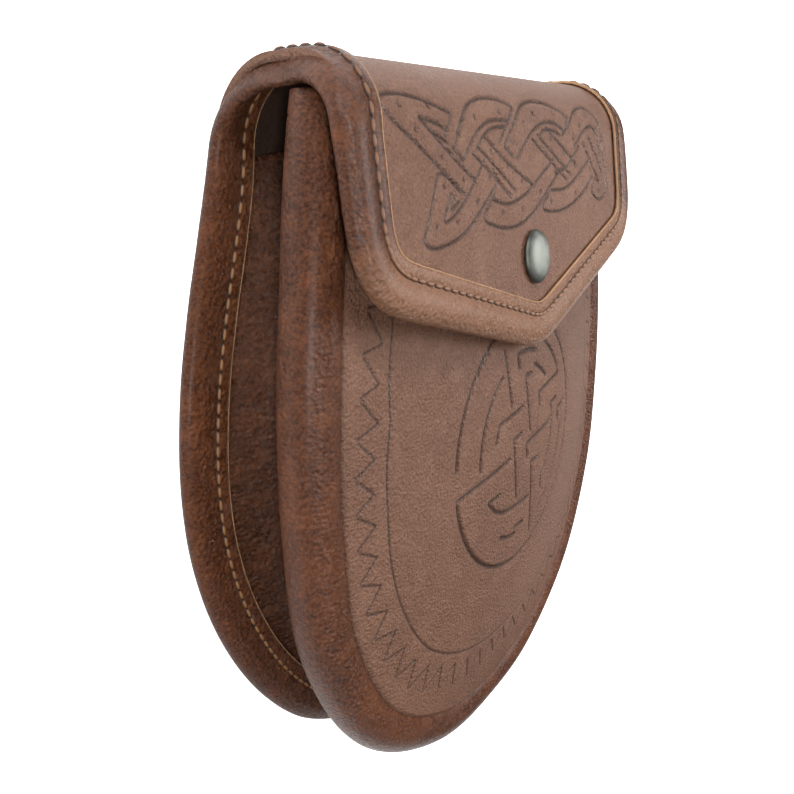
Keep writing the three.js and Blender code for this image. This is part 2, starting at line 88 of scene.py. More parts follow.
# %% Meshes and objects
def finish_mesh(name, bm, material, nodes=(), smooth=True):
    """Turns a bmesh in millimetres into an object that rides on the pouch."""
    bmesh.ops.transform(bm, matrix=Matrix.Scale(MM, 4), verts=bm.verts)
    bmesh.ops.recalc_face_normals(bm, faces=bm.faces)
    for face in bm.faces:
        face.smooth = smooth
    mesh = bpy.data.meshes.new(name)
    bm.to_mesh(mesh)
    bm.free()
    piece = bpy.data.objects.new(name, mesh)
    scene.collection.objects.link(piece)
    mesh.materials.append(material)
    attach(piece, "root")
    if nodes:
        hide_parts(*nodes)
    triangles = sum(len(p.vertices) - 2 for p in mesh.polygons)
    print(name, "triangles:", triangles)
    return piece


def grid(columns, rows):
    """A flat grid whose x and y both run from 0 to 1."""
    bm = bmesh.new()
    bmesh.ops.create_grid(bm, x_segments=columns, y_segments=rows, size=0.5)
    bmesh.ops.translate(bm, vec=(0.5, 0.5, 0), verts=bm.verts)
    return bm


def move(bm, place):
    """Moves every vertex to place(x, y, z)."""
    for vert in bm.verts:
        vert.co = place(vert.co.x, vert.co.y, vert.co.z)


# %% Curves
def spline(points, steps=12):
    """A smooth line through points, which are rows of any length."""
    p = np.array(points, float)
    ends = np.vstack([2 * p[0] - p[1], p, 2 * p[-1] - p[-2]])
    out = []
    for i in range(1, len(ends) - 2):
        a, b, c, d = ends[i - 1:i + 3]
        for t in np.linspace(0, 1, steps, endpoint=False):
            out.append(0.5 * (2 * b + (c - a) * t + (2 * a - 5 * b + 4 * c - d) * t ** 2
                              + (3 * b - a - 3 * c + d) * t ** 3))
    out.append(ends[-2])
    return np.array(out)


def even(line, spacing=None, count=None):
    """The same line with evenly spaced points."""
    line = np.asarray(line, float)
    steps = np.linalg.norm(np.diff(line, axis=0), axis=1)
    along = np.concatenate([[0], np.cumsum(steps)])
    count = count or max(2, int(round(along[-1] / spacing)) + 1)
    wanted = np.linspace(0, along[-1], count)
    return np.stack([np.interp(wanted, along, line[:, k]) for k in range(line.shape[1])], 1)


def inward_normals(line):
    """Unit normals on the left of a line in the plane."""
    run = np.gradient(line, axis=0)
    run /= np.linalg.norm(run, axis=1)[:, None]
    return np.stack([-run[:, 1], run[:, 0]], 1)


def arc(radius, start, end, centre=(0, 0), steps=24):
    """Part of a circle; angles in degrees, counted from +X toward +Y."""
    a = np.radians(np.linspace(start, end, steps))
    return np.stack([centre[0] + radius * np.cos(a), centre[1] + radius * np.sin(a)], 1)


# %% Distances to tooled lines
def distance_to(lines, points):
    """Distance from each point to the nearest line, and on which side of that line it is."""
    best = np.full(len(points), 1e9)
    side = np.zeros(len(points))
    for line in lines:
        line = np.asarray(line, float)
        low = line.min(0) - 4
        high = line.max(0) + 4
        near = np.all((points > low) & (points < high), axis=1)
        if not near.any():
            continue
        p = points[near]
        d_best = best[near]
        s_best = side[near]
        for a, b in zip(line[:-1], line[1:]):
            ab = b - a
            t = np.clip(((p - a) @ ab) / max(ab @ ab, 1e-9), 0, 1)
            off = p - (a + t[:, None] * ab)
            d = np.hypot(off[:, 0], off[:, 1])
            closer = d < d_best
            d_best[closer] = d[closer]
            s_best[closer] = np.sign(ab[0] * off[closer, 1] - ab[1] * off[closer, 0])
        best[near] = d_best
        side[near] = s_best
    return best, side


def refine(bm, lines, reach, rounds):
    """Cuts the edges near the lines in half, again and again."""
    for level in range(rounds):
        flat = np.array([v.co[:2] for v in bm.verts])
        near = distance_to(lines, flat)[0] < reach / (level * 0.35 + 1)
        for v, hit in zip(bm.verts, near):
            v.tag = bool(hit)
        edges = [e for e in bm.edges if e.verts[0].tag and e.verts[1].tag]
        bmesh.ops.subdivide_edges(bm, edges=edges, cuts=1, use_grid_fill=True)


def tool(bm, lines, width=0.75, depth=0.55, bevel=2.4, sink=0.25):
    """Presses lines into a flat pattern: z falls, and the layer "press" keeps how much.

    One side of each line falls away sharply and the other is rubbed down in a soft slope.
    """
    layer = bm.verts.layers.float.get("press") or bm.verts.layers.float.new("press")
    flat = np.array([v.co[:2] for v in bm.verts])
    d, side = distance_to(lines, flat)
    groove = np.clip(1 - d / width, 0, 1)
    groove = groove * groove * (3 - 2 * groove)
    slope = np.where(side > 0, np.clip(1 - d / bevel, 0, 1) ** 2, 0)
    for v, g, s in zip(bm.verts, groove, slope):
        v.co.z -= max(depth * g, sink * s)
        v[layer] = min(1, v[layer] + g + 0.18 * s)


# %% [markdown]
# ## Leather
# All the leathers share one recipe: a colour that drifts slowly over the hide, pores and fine
# creases as bump, and tooled lines that are darker and a little more polished. The pattern is read
# in the object's own space, so its scale is the real one.

# %% Node helpers
def new_material(name):
    material = bpy.data.materials.new(name)
    material.use_nodes = True
    nodes = material.node_tree.nodes
    return material, nodes, material.node_tree.links, nodes["Principled BSDF"]


def noise(nodes, links, where, scale, detail=4.0, rough=0.55):
    node = nodes.new("ShaderNodeTexNoise")
    node.inputs["Scale"].default_value = scale
    node.inputs["Detail"].default_value = detail
    node.inputs["Roughness"].default_value = rough
    links.new(where, node.inputs["Vector"])
    return node.outputs["Fac"]


def ramp(nodes, links, value, low, high):
    node = nodes.new("ShaderNodeMapRange")
    node.inputs["From Min"].default_value = low
    node.inputs["From Max"].default_value = high
    links.new(value, node.inputs["Value"])
    return node.outputs["Result"]


def mix(nodes, links, share, one, two, kind="MIX"):
    node = nodes.new("ShaderNodeMix")
    node.data_type = "RGBA"
    node.blend_type = kind
    if isinstance(share, float):
        node.inputs["Factor"].default_value = share
    else:
        links.new(share, node.inputs["Factor"])
    for socket, value in (("A", one), ("B", two)):
        target = [s for s in node.inputs if s.name == socket and s.type == "RGBA"][0]
        if isinstance(value, tuple):
            target.default_value = (*value, 1)
        else:
            links.new(value, target)
    return [s for s in node.outputs if s.type == "RGBA"][0]


def maths(nodes, links, kind, one, two):
    node = nodes.new("ShaderNodeMath")
    node.operation = kind
    for socket, value in zip(node.inputs, (one, two)):
        if isinstance(value, (int, float)):
            socket.default_value = value
        else:
            links.new(value, socket)
    return node.outputs["Value"]


# %% Leather recipe
def leather(name, dark, base, light, rough, grain, crease, bump, pressed=None, coat=0.0,
            pale=None, relief_depth=0.0007):
    """grain and crease are the sizes of pores and creases in repeats per metre."""
    material, nodes, links, shader = new_material(name)
    where = nodes.new("ShaderNodeTexCoord").outputs["Object"]
    broad = noise(nodes, links, where, 22, 3)
    middle = noise(nodes, links, where, 140, 5, 0.65)
    fine = noise(nodes, links, where, 1400, 3, 0.6)
    tone = mix(nodes, links, ramp(nodes, links, broad, 0.3, 0.7), dark, base)
    tone = mix(nodes, links, ramp(nodes, links, middle, 0.48, 0.95), tone, light)
    speck = ramp(nodes, links, fine, 0.38, 0.62)
    tone = mix(nodes, links, 0.38, tone, mix(nodes, links, speck, dark, light))
    # pale is painted light: where the pale layer is set, the colour is lightened toward the pale tone,
    # standing in for the light that falls on the flap's binding.
    if pale:
        painted_light_mask = nodes.new("ShaderNodeAttribute")
        painted_light_mask.attribute_name = "pale"
        painted_light_tone = mix(nodes, links, 0.3, pale, tone)
        tone = mix(nodes, links, painted_light_mask.outputs["Fac"], tone, painted_light_tone)
    pores = nodes.new("ShaderNodeTexVoronoi")
    pores.inputs["Scale"].default_value = grain
    links.new(where, pores.inputs["Vector"])
    creases = noise(nodes, links, where, crease, 6, 0.7)
    height = maths(nodes, links, "MULTIPLY", pores.outputs["Distance"], 0.7)
    height = maths(nodes, links, "ADD", height, maths(nodes, links, "MULTIPLY", creases, 1.3))
    relief = nodes.new("ShaderNodeBump")
    relief.inputs["Strength"].default_value = bump
    relief.inputs["Distance"].default_value = relief_depth
    links.new(height, relief.inputs["Height"])
    links.new(relief.outputs["Normal"], shader.inputs["Normal"])
    gloss = maths(nodes, links, "MULTIPLY", ramp(nodes, links, middle, 0.3, 0.8), 0.16)
    gloss = maths(nodes, links, "ADD", gloss, rough - 0.08)
    if pressed:
        mark = nodes.new("ShaderNodeAttribute")
        mark.attribute_name = "press"
        share = maths(nodes, links, "MULTIPLY", mark.outputs["Fac"], 0.88)
        tone = mix(nodes, links, share, tone, pressed)
        gloss = maths(nodes, links, "SUBTRACT", gloss, maths(nodes, links, "MULTIPLY", share, 0.12))
    links.new(tone, shader.inputs["Base Color"])
    links.new(gloss, shader.inputs["Roughness"])
    shader.inputs["Coat Weight"].default_value = coat
    shader.inputs["Coat Roughness"].default_value = 0.35
    shader.inputs["Specular IOR Level"].default_value = 0.3
    return material


panel_leather = leather(
    "panel leather", (0.115, 0.050, 0.028), (0.175, 0.080, 0.046), (0.26, 0.136, 0.088), 0.48,
    1300, 900, 1.0, pressed=(0.018, 0.006, 0.003))
# The roll leather's pale tone is painted light for the flap's binding.
roll_leather = leather(
    "roll leather", (0.028, 0.006, 0.001), (0.085, 0.022, 0.005), (0.23, 0.072, 0.022), 0.30,
    900, 800, 1.0, coat=0.12, pale=(0.30, 0.15, 0.085), relief_depth=0.0009)
# The gusset leather is the roll leather's hue at about half its brightness; this extra darkness is painted
# shade for the shade on the gusset.
gusset_leather_painted_shade = leather(
    "gusset leather painted shade", (0.010, 0.002, 0.0005), (0.048, 0.012, 0.002), (0.13, 0.038, 0.009), 0.28,
    800, 420, 1.0, coat=0.12, relief_depth=0.0009)
flesh_side = leather(
    "flesh side leather", (0.018, 0.008, 0.005), (0.032, 0.014, 0.008), (0.05, 0.024, 0.014), 0.8,
    1600, 900, 0.5)
loop_leather = leather(
    "loop leather", (0.08, 0.04, 0.025), (0.12, 0.065, 0.042), (0.16, 0.09, 0.06), 0.6,
    1500, 800, 0.35)
raw_edge = leather(
    "raw edge leather", (0.30, 0.16, 0.08), (0.42, 0.24, 0.13), (0.52, 0.33, 0.19), 0.75,
    2600, 1500, 0.4)

# %% Thread and metal
def thread(name, colour):
    material, nodes, links, shader = new_material(name)
    where = nodes.new("ShaderNodeTexCoord").outputs["Object"]
    fibre = noise(nodes, links, where, 2600, 2)
    dark = tuple(c * 0.6 for c in colour)
    links.new(mix(nodes, links, fibre, dark, colour), shader.inputs["Base Color"])
    shader.inputs["Roughness"].default_value = 0.6
    return material


brown_thread = thread("brown thread", (0.20, 0.085, 0.035))
tan_thread = thread("tan thread", (0.26, 0.12, 0.045))
# The needle holes are near-black beads of painted shade: the shade inside each hole round the thread.
needle_hole_shade = thread("needle hole shade", (0.02, 0.011, 0.008))


def gunmetal_finish():
    material, nodes, links, shader = new_material("gunmetal")
    where = nodes.new("ShaderNodeTexCoord").outputs["Object"]
    cloud = ramp(nodes, links, noise(nodes, links, where, 260, 5, 0.6), 0.35, 0.7)
    tone = mix(nodes, links, cloud, (0.09, 0.095, 0.085), (0.16, 0.165, 0.145))
    links.new(tone, shader.inputs["Base Color"])
    links.new(maths(nodes, links, "MULTIPLY_ADD", cloud, 0.12), shader.inputs["Roughness"])
    shader.inputs["Metallic"].default_value = 0.9
    return material


gunmetal = gunmetal_finish()
gunmetal.node_tree.nodes["Principled BSDF"].inputs["Roughness"].default_value = 0.36

# %% [markdown]
# ## The hide seen from the side
# One hide makes the back, the fold and the flap. Its mid surface runs up the back, over two bends
# and down the flap, just as in the solids.

# %% Side profile
HIDE = 2.2
BINDING_HALF = 2.9
BINDING_WIDTH = 12.2
SLOT_START = 3.3
STRIP = 1.0
GUSSET_LIP = 0.5
BACK_Z = BINDING_HALF
BACK_BEND = 18.0
FRONT_BEND = 16.0
FLAP_LEAN = math.atan(0.12)
SNAP_Y = 55.2
FLAP_Z_AT_SNAP = 44.8 + BACK_Z
FOLD_TOP = 104.0
BACK_BOTTOM = -96.3
MEDALLION_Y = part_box("edge_binding")[0][1] / MM - BACK_BOTTOM

BEND_Y = FOLD_TOP - BACK_BEND
FRONT_BEND_Y = FOLD_TOP - FRONT_BEND
FLAP_START_Y = FRONT_BEND_Y + FRONT_BEND * math.sin(FLAP_LEAN)
FLAP_START_Z = FLAP_Z_AT_SNAP - math.tan(FLAP_LEAN) * (FLAP_START_Y - SNAP_Y)
FRONT_BEND_Z = FLAP_START_Z - FRONT_BEND * math.cos(FLAP_LEAN)
START_FLAT = BEND_Y + BACK_BEND * math.pi / 2
START_FRONT = START_FLAT + FRONT_BEND_Z - (BACK_Z + BACK_BEND)
START_FLAP = START_FRONT + FRONT_BEND * (math.pi / 2 - FLAP_LEAN)


def on_hide(x, along, out):
    """A place on the hide: across, along its length, and out of its mid surface."""
    if along <= BEND_Y:
        y, z, ny, nz = along, BACK_Z, 0.0, -1.0
    elif along <= START_FLAT:
        turn = (along - BEND_Y) / BACK_BEND
        ny, nz = math.sin(turn), -math.cos(turn)
        y, z = BEND_Y + BACK_BEND * ny, BACK_Z + BACK_BEND + BACK_BEND * nz
    elif along <= START_FRONT:
        y, z, ny, nz = FOLD_TOP, BACK_Z + BACK_BEND + along - START_FLAT, 1.0, 0.0
    elif along <= START_FLAP:
        turn = (along - START_FRONT) / FRONT_BEND
        ny, nz = math.cos(turn), math.sin(turn)
        y, z = FRONT_BEND_Y + FRONT_BEND * ny, FRONT_BEND_Z + FRONT_BEND * nz
    else:
        down = along - START_FLAP
        ny, nz = math.sin(FLAP_LEAN), math.cos(FLAP_LEAN)
        y, z = FLAP_START_Y - down * nz, FLAP_START_Z + down * ny
    return Vector((x, y + out * ny + MEDALLION_Y, z + out * nz))


def along_at(y):
    """Length along the hide of a place on the flap."""
    return START_FLAP + (FLAP_START_Y - y) / math.cos(FLAP_LEAN)


# %% Outline of the hide
BACK_LINE = [
    (0, -96.3), (30, -92.6), (54, -80), (72.5, -60), (85.5, -37), (92.6, -14), (94.4, 8),
    (92.2, 30), (87.6, 50), (82.6, 67), (79, 82), (78, 98), (80, 120),
]
FLAP_HALF_WIDTH = 84.5
CORNER = np.array([FLAP_HALF_WIDTH, along_at(53.8)])
TIP = np.array([0, along_at(29.0)])
CORNER_CUT = 17
TIP_CUT = 9


def bend(a, corner, b, steps=12):
    """A round corner from a to b."""
    t = np.linspace(0, 1, steps)[:, None]
    return (1 - t) ** 2 * a + 2 * t * (1 - t) * corner + t ** 2 * b


def hide_outline():
    slant = (TIP - CORNER) / np.linalg.norm(TIP - CORNER)
    back = spline([(-30, -92.6)] + BACK_LINE, 18)[18:]
    corner = bend(CORNER - [0, CORNER_CUT], CORNER, CORNER + slant * CORNER_CUT)
    before = TIP - slant * TIP_CUT
    tip = bend(before, TIP, before * [-1, 1])[:7]
    line = np.vstack([back, [[FLAP_HALF_WIDTH, START_FLAP]], corner, tip])
    line = even(line, count=800)
    for _ in range(20):
        padded = np.vstack([line[1] * [-1, 1], line, line[-2] * [-1, 1]])
        line = (padded[:-2] + 2 * padded[1:-1] + padded[2:]) / 4
    line[0, 0] = line[-1, 0] = 0
    return line


OUTLINE = hide_outline()
OUTLINE_IN = inward_normals(OUTLINE)
whole_outline = np.vstack([OUTLINE, (OUTLINE * [-1, 1])[-2:0:-1]])
whole_inward = np.vstack([OUTLINE_IN, (OUTLINE_IN * [-1, 1])[-2:0:-1]])
print("edge length:", round(np.linalg.norm(np.diff(OUTLINE, axis=0), axis=1).sum() * 2), "mm")

# %% [markdown]
# ## The flap's interlace
# Broad bands cross over and under each other. Each has a pressed edge on either side and a row of
# pits along its middle. Where a band passes under another, its edges stop.

# %% Interlace chart
# Pressed edges of the bands, in millimetres across the flap and up from the medallion.
BAND_EDGES = {
    "upper left point": [
        [(-40, 92.5), (-52, 95.3), (-62, 96.3), (-69, 95), (-66, 91), (-58, 86.5), (-48, 80.5), (-37, 74)],
        [(-40, 92.5), (-44, 87.6)],
        [(-55, 91.5), (-47, 90.3), (-43.6, 89)],
        [(-55, 91.5), (-44, 84.5), (-36, 79.8), (-31, 77)],
        [(-50, 88.6), (-43, 86)],
        [(-41, 85), (-36.5, 82)],
    ],
    "lower left point": [
        [(-39.5, 75), (-48, 79.4), (-52.5, 73.5), (-56, 68), (-58, 64.8), (-54, 63), (-46, 63.4),
         (-38, 65.5), (-31, 69), (-20, 75.4)],
        [(-44, 74.5), (-48, 68.6), (-42, 70), (-36, 73.4), (-30, 78), (-25, 82)],
        [(-42, 74), (-44.5, 71), (-40, 72.6)],
    ],
    "first top wave": [
        [(-40, 84.5), (-38, 88.6), (-34, 92)],
        [(-36.5, 90.5), (-31, 94.5), (-22, 96.8), (-12, 96.8), (-4.5, 95)],
        [(-36.5, 82), (-31, 86.6), (-25, 90), (-18, 91.5), (-10, 91.5)],
        [(-29, 84.5), (-25, 87.5), (-19, 89.6), (-11, 90)],
        [(-4.5, 95), (-10, 91), (-16, 86)],
    ],
    "second top wave": [
        [(-13, 85), (-7, 90.3), (0, 95), (8, 97), (17, 97), (26, 95.4), (33, 93)],
        [(-6, 81.8), (2, 87), (8, 90), (15, 91.4), (22, 91.2), (28, 89.6)],
        [(10, 87.5), (14, 89.4), (21, 89.2), (26, 87.8)],
        [(33, 93), (27.5, 88)],
        [(-13, 85), (-8, 82.4)],
    ],
    "middle fall": [
        [(-24, 87.5), (-14, 82), (-5, 78), (3, 74.6)],
        [(-28, 85), (-18, 79.4), (-8, 73.6)],
        [(-31, 83.5), (-21, 78), (-11, 72)],
        [(-21, 79.5), (-17.5, 76)],
    ],
    "right fall": [
        [(15, 90), (26, 85), (38, 78.8)],
        [(9, 88), (20, 82.5), (32, 76.4)],
        [(5, 87), (16, 81.4), (29, 74.8)],
    ],
    "first low wave": [
        [(-21, 73), (-28, 68), (-22, 65.4), (-14, 64.3), (-5, 65), (4, 68), (14, 73), (25, 78.6)],
        [(-22, 72), (-15, 70.5), (-8, 71), (0, 73), (8, 76.4), (20, 81.4)],
    ],
    "second low wave": [
        [(15, 72), (9, 68), (18, 66.4), (30, 67.4), (41, 70.6), (50, 75)],
        [(16, 72.6), (26, 72.6), (36, 75.2), (48, 80.4)],
        [(21, 77), (30, 79), (40, 84.5)],
    ],
    "right loop": [
        [(27.5, 88), (33, 91), (40, 95), (48, 96.5), (56, 94.5), (61, 89), (61.5, 83), (63, 76),
         (62, 70), (56, 67.6), (49, 70.4)],
        [(37, 85), (46, 89.6), (52, 90.6), (57, 88), (59, 82)],
        [(44, 85.5), (50, 80), (57, 73)],
        [(49, 87.5), (55, 82), (59.5, 76.5)],
        [(49, 71), (53, 74.6), (57, 73)],
    ],
}
PITS = [
    (-62, 94), (-50, 94), (-57, 89), (-46.5, 83), (-37, 77.6), (-47, 76.4), (-52, 67.6),
    (-42, 68), (-31, 72), (-37, 88), (-28.5, 92), (-14, 93.6), (-23, 77.6), (-21, 84), (-12, 80),
    (-4, 75.8), (-17, 68.4), (-5, 68.6), (8, 72.6), (20, 77.6), (-8.5, 86.4), (0, 91), (8, 93.8),
    (22, 94), (18, 87), (27.5, 83), (36, 79), (15.5, 69.4), (35, 71), (36, 87), (42, 91),
    (49, 94), (57, 90), (58, 79), (52, 84), (49, 77.6), (55, 70.4),
]


def laid_flat(points):
    """The same places counted along the hide."""
    points = np.asarray(points, float)
    return np.stack([points[:, 0], [along_at(y) for y in points[:, 1]]], 1)


flap_lines = []
for band in BAND_EDGES.values():
    for edge in band:
        smooth_edge = spline(edge, 6) if len(edge) > 3 else np.array(edge, float)
        flap_lines.append(laid_flat(smooth_edge))
pit_places = laid_flat(PITS)
pit_lines = [np.array([p, p + [0.2, 0.1]]) for p in pit_places]
print("pressed edges on the flap:", len(flap_lines), "pits:", len(pit_lines))

# %% [markdown]
# ## Back panel, fold and flap
# We lay a grid over the flat outline, cut it finer near the tooled lines, press the lines, bend the
# sheet over the fold, and give it its thickness.

# %% Hide
def hide_sheet():
    inset = OUTLINE + OUTLINE_IN * (SLOT_START + GAP)
    keep = inset[:, 0] > 1.2
    edge = inset[keep]
    rows = 200
    bm = grid(84, rows)
    low, high = edge[0, 1], edge[-1, 1]

    def lay(x, y, z):
        along = low + (high - low) * y
        reach = np.interp(along, edge[:, 1], edge[:, 0])
        return Vector(((2 * x - 1) * reach, along, 0))

    move(bm, lay)
    refine(bm, flap_lines + pit_lines, 2.2, 2)
    tool(bm, flap_lines, width=0.75, depth=0.6, bevel=2.2, sink=0.25)
    tool(bm, pit_lines, width=1.0, depth=0.8, bevel=1.2, sink=0.1)
    half = HIDE / 2
    move(bm, lambda x, y, z: on_hide(x, y, half + z))
    bmesh.ops.recalc_face_normals(bm, faces=bm.faces)
    return bm


bm = hide_sheet()
hide = finish_mesh("back_fold_flap", bm, panel_leather, ["back_flap_panel"])


def thicken(piece, thickness):
    """Gives a sheet its thickness on the side away from its outer face, with its flesh side."""
    piece.data.materials.append(flesh_side)
    modifier = piece.modifiers.new("thickness", "SOLIDIFY")
    modifier.material_offset = 1
    modifier.thickness = thickness * MM
    modifier.offset = -1
    return modifier


thicken(hide, HIDE)

# %% [markdown]
# ## Edge binding
# The strip is folded round the edge of the hide. Its section is swept round the whole outline.

# %% Binding
def binding_section():
    outer = HIDE / 2 + GAP
    inner = -(outer + GUSSET_LIP + GAP)
    round_part = [
        (BINDING_WIDTH, outer + STRIP - 0.1), (11.6, outer + STRIP), (10.0, outer + STRIP - 0.05),
        (8.9, outer + STRIP - 0.35), (7.9, outer + STRIP - 0.1), (6.3, BINDING_HALF - 0.15),
        (4.2, BINDING_HALF), (2.3, BINDING_HALF * 0.86), (0.9, BINDING_HALF * 0.55), (0.15, 0.4),
        (0.15, -0.8), (0.9, -BINDING_HALF * 0.66), (2.3, -BINDING_HALF * 0.93),
        (4.2, inner - STRIP), (6.3, inner - STRIP), (7.9, inner - STRIP + 0.1),
        (8.9, inner - STRIP + 0.35), (10.0, inner - STRIP + 0.05), (11.6, inner - STRIP),
        (BINDING_WIDTH, inner - STRIP + 0.1),
    ]
    skin = even(spline(round_part, 3), count=46)
    slot = [(BINDING_WIDTH, inner), (SLOT_START, inner), (SLOT_START, outer), (BINDING_WIDTH, outer)]
    return np.vstack([skin, slot])


STITCH_LINE = 8.9
CURL = math.radians(38)


def curled(reach, out, along):
    """Over the fold the padded part of the strip turns in under the arch, about its stitches."""
    share = math.exp(-((along - 112) / 22) ** 2)
    beyond = STITCH_LINE - reach
    if beyond <= 0:
        return reach, out
    angle = CURL * share * min(1, beyond / 2)
    return STITCH_LINE - beyond * math.cos(angle) - out * math.sin(angle) * 0.3, \
        out * math.cos(angle) - beyond * math.sin(angle)


def sweep_ring(section, spacing):
    """Sweeps a closed section, given as (inward, out), round the outline of the hide."""
    line = even(np.vstack([whole_outline, whole_outline[:1]]), spacing=spacing)[:-1]
    closed = np.vstack([line[-1:], line, line[:1]])
    inward = inward_normals(closed)[1:-1]
    count, rings = len(section), len(line)
    bm = grid(count, rings)

    def place(x, y, z):
        i = int(round(x * count)) % count
        j = int(round(y * rings)) % rings
        reach, out = curled(section[i][0], section[i][1], line[j][1])
        at = line[j] + inward[j] * reach
        return on_hide(at[0], at[1], out)

    # The pale layer marks the flap's part of the binding, where painted light lightens the leather.
    layer = bm.verts.layers.float.new("pale")
    for vert in bm.verts:
        along = line[int(round(vert.co.y * rings)) % rings][1]
        vert[layer] = min(1, max(0, (along - START_FLAP - 22) / 14))
    move(bm, place)
    bmesh.ops.remove_doubles(bm, verts=bm.verts, dist=0.0005)
    return bm


binding = finish_mesh(
    "edge_binding_roll", sweep_ring(binding_section(), 1.6), roll_leather, ["edge_binding"])

# %% [markdown]
# ## Front panel
# The panel is domed. The medallion, the zigzag and the border line are charted.

# %% Front shape
FRONT_HIDE = 2.5
RIM_Z = 35.5 + BACK_Z
CROWN_Z = 44.8 + BACK_Z
SEAM_BOTTOM = -84
CROWN_FALL = (CROWN_Z - RIM_Z) / SEAM_BOTTOM ** 2
RIM_FALL = 2.5
MOUTH_Y = 96.5
ROLL_RADIUS = 7.0
ROLL_BELOW_RIM = 6.0
ROLL_LINE = [
    (0, -87.8), (30.3, -83.6), (61, -64.5), (79.2, -33), (83.6, 0), (82.6, 32), (77.8, 64),
    (73, MOUTH_Y),
]
roll_right = spline([(-30.3, -83.6)] + ROLL_LINE, 40)[40:]
roll_right = even(roll_right, count=500)
roll_whole = np.vstack([(roll_right * [-1, 1])[:0:-1], roll_right])


def rim_z(y):
    return RIM_Z - RIM_FALL * (max(y, 0) / MOUTH_Y) ** 2


def front_z(x, y, reach):
    crown = CROWN_Z - CROWN_FALL * y * y
    return rim_z(y) + (crown - rim_z(y)) * (1 - (x / reach) ** 2)


# %% Medallion chart
# Lines of the round knot, in millimetres from its middle.
MEDALLION = [
    arc(38.6, 176, -169, steps=90),
    [(-37.8, -6.0), (-23, -4.4), (-9.5, -3.0)],
    [(-12, 30), (-8.5, 13)],
    [(-18, 4.5), (-16, 9.4), (-1, 11)],
    arc(26.6, 182, 121),
    [(5, 20), (1, 20), (4.5, 2)],
    [(-3, 23), (-4, 27.5), (1.5, 27.7)],
    arc(27.7, 86, 70, steps=8),
    arc(23.4, 72, 45, steps=10),
    arc(32.1, 66, 28, steps=16),
    [(28.4, 15), (11, 12.5), (11.6, 8)],
    [(-2, 3.2), (-7, 2.4), (-4, -17)],
    [(2.7, -6), (2, -1.5), (20.5, 0.6)],
    [(26, 7), (21.5, 6.4)],
    arc(22.6, 16, -45),
    [(15.0, -15.8), (15.6, -20.5)],
    [(11, -8.5), (6, -8.4), (9.2, -33)],
    arc(31.4, -5, -60),
    [(29.2, -1), (28.6, 2.6), (34.5, 3.6)],
    [(-15.5, -12), (-21.5, -12.6)],
    spline([(-21.5, -12.6), (-16.5, -17), (-9, -19.4), (5, -20)], 6),
    arc(29.8, -115, -95, steps=10),
    [(-3, -28.6), (-2.6, -27.2), (2.8, -27.5)],
    [(-1.2, 34.5), (-1, 30.5)],
]

# %% Border chart
# Distances from the middle of the medallion, on the way from the top down to the bottom.
BORDER = [
    {"angle": 40, "line": 77.6, "tips_in": 80.0, "tips_out": 87.0},
    {"angle": 20, "line": 67.8, "tips_in": 72.0, "tips_out": 78.4},
    {"angle": 0, "line": 65.4, "tips_in": 69.6, "tips_out": 76.0},
    {"angle": -20, "line": 66.0, "tips_in": 70.4, "tips_out": 77.2},
    {"angle": -45, "line": 66.3, "tips_in": 70.8, "tips_out": 78.6},
    {"angle": -70, "line": 64.2, "tips_in": 67.4, "tips_out": 75.2},
    {"angle": -90, "line": 63.0, "tips_in": 64.8, "tips_out": 71.8},
]


def border_radius(angle, column):
    rows = sorted(BORDER, key=lambda row: row["angle"])
    return float(np.interp(angle, [r["angle"] for r in rows], [r[column] for r in rows]))


def polar(angle, radius, side):
    a = math.radians(angle)
    return (side * radius * math.cos(a), radius * math.sin(a))


def border_lines():
    """The border line, and zigzag strokes that stop just short of each other."""
    lines = []
    for side in (-1, 1):
        angles = np.linspace(40, -90, 60)
        lines.append(np.array([polar(a, border_radius(a, "line"), side) for a in angles]))
        teeth = 19
        step = 130 / teeth
        for k in range(teeth):
            top = 40 - k * step
            tip_in = np.array(polar(top, border_radius(top, "tips_in"), side))
            middle = top - step / 2
            tip_out = np.array(polar(middle, border_radius(middle, "tips_out"), side))
            end = top - step
            next_in = np.array(polar(end, border_radius(end, "tips_in"), side))
            lines.append(np.array([tip_in, tip_in + 0.93 * (tip_out - tip_in)]))
            lines.append(np.array([tip_out + 0.12 * (next_in - tip_out), next_in]))
    return lines


knot_lines = [np.asarray(line, float) for line in MEDALLION]
zigzag_lines = border_lines()
front_lines = knot_lines + zigzag_lines
print("tooled lines on the front:", len(front_lines))

# %% Front panel
def front_sheet():
    normals = inward_normals(roll_right)
    inset = roll_right + normals * 3.6
    edge = inset[inset[:, 0] > 1.5]
    bm = grid(120, 130)
    low, high = edge[0, 1], MOUTH_Y

    def lay(x, y, z):
        at = low + (high - low) * y
        reach = np.interp(at, edge[:, 1], edge[:, 0])
        return Vector(((2 * x - 1) * reach, at, 0))

    move(bm, lay)
    refine(bm, front_lines, 2.6, 2)
    tool(bm, knot_lines, width=1.05, depth=0.85, bevel=3.0, sink=0.4)
    tool(bm, zigzag_lines, width=0.5, depth=0.4, bevel=1.5, sink=0.12)
    seam = [edge * [side, 1] for side in (-1, 1)]
    tool(bm, seam, width=1.7, depth=0.9, bevel=5, sink=0.3)

    def dome(x, y, z):
        reach = np.interp(y, edge[:, 1], edge[:, 0])
        return Vector((x, y + MEDALLION_Y, front_z(x, y, reach) + z))

    move(bm, dome)
    return bm


front = finish_mesh("front_panel_tooled", front_sheet(), panel_leather, ["front_panel"])
thicken(front, FRONT_HIDE)

# %% [markdown]
# ## Front roll
# A padded tube follows the seam round the sides and the bottom.

